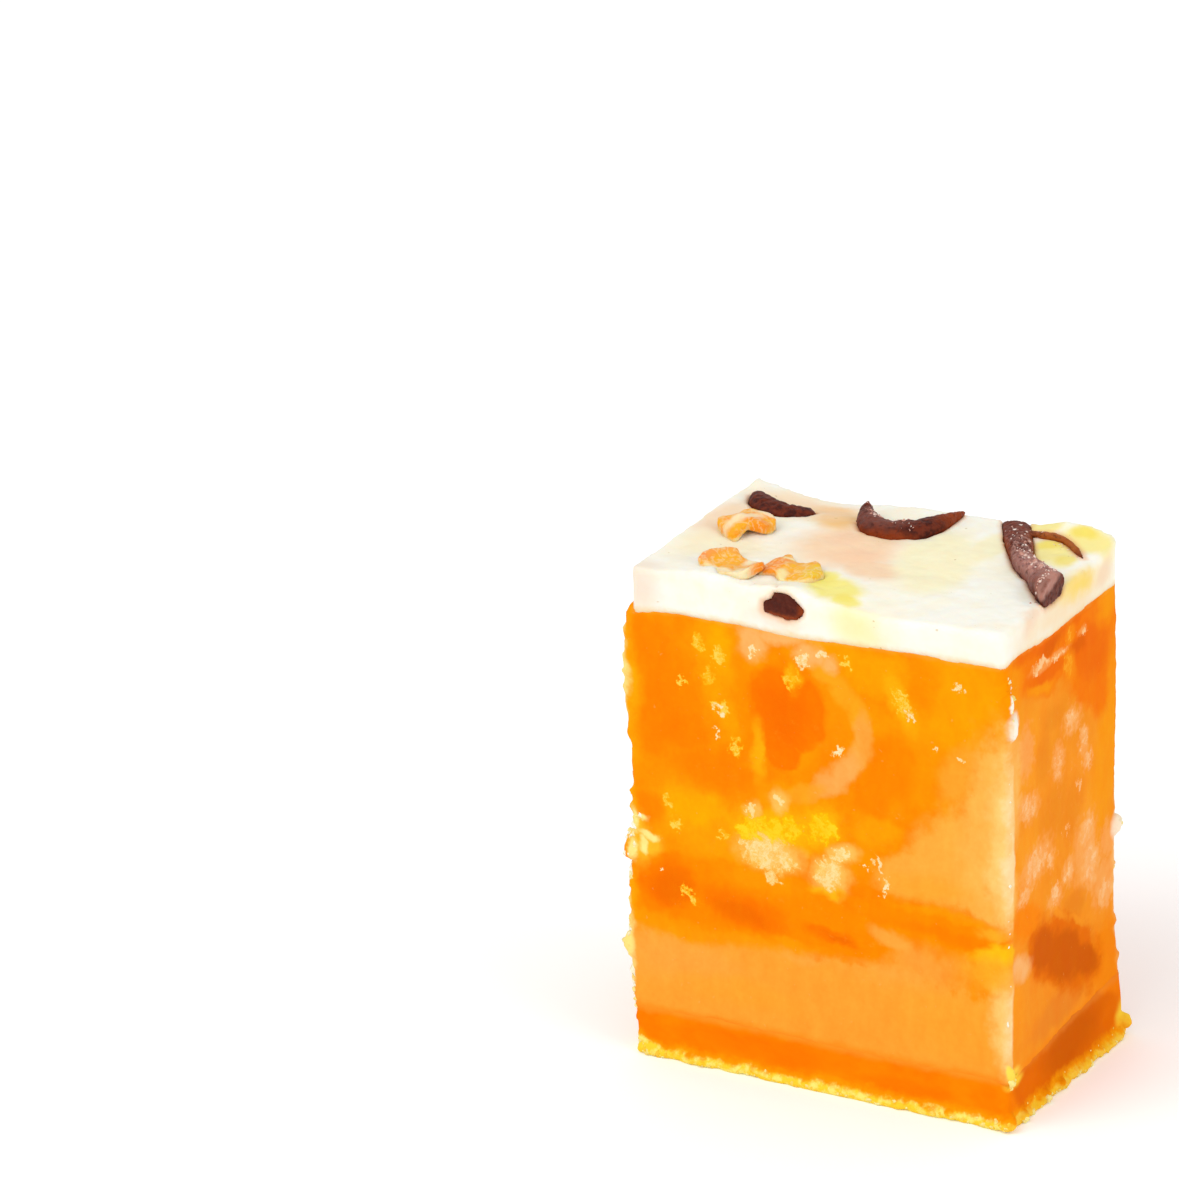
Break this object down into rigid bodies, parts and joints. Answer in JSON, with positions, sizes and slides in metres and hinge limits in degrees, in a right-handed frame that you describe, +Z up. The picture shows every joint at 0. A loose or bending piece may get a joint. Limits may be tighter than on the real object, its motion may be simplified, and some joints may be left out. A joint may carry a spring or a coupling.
{
  "type": "layered orange fudge block",
  "caption": "Hand-cut block of marbled orange fudge with a dark base layer and a thick white top layer set with chocolate curls and candied peel.",
  "frame": {"origin": "centre of the foot, on the surface that the block stands on", "axes": "+Z up through the layers, the wide cut face looks along -Y, a narrow cut face along +X"},
  "size_m": [0.0434, 0.0264, 0.054],
  "materials": {
    "base_fudge": "satin dark orange fudge, a ragged yellow lip along the foot",
    "orange_fudge": "satin marbled orange fudge with paler and deeper swirls",
    "white_icing": "satin white fudge, tinted yellow and peach in soft patches",
    "dark_chocolate": "dark chocolate with a dusting of sugar crystals",
    "candied_peel": "glossy sugared orange peel with a pale pith"
  },
  "bodies": {
    "root": {"base_layer": "base_fudge", "fudge_body": "orange_fudge", "white_icing": "white_icing", "chocolate_curl_back": "dark_chocolate", "chocolate_curl_side": "dark_chocolate", "chocolate_curl_corner": "dark_chocolate", "chocolate_chip": "dark_chocolate", "peel_folded": "candied_peel", "peel_flat": "candied_peel", "peel_corner": "candied_peel"}
  },
  "joints": []
}
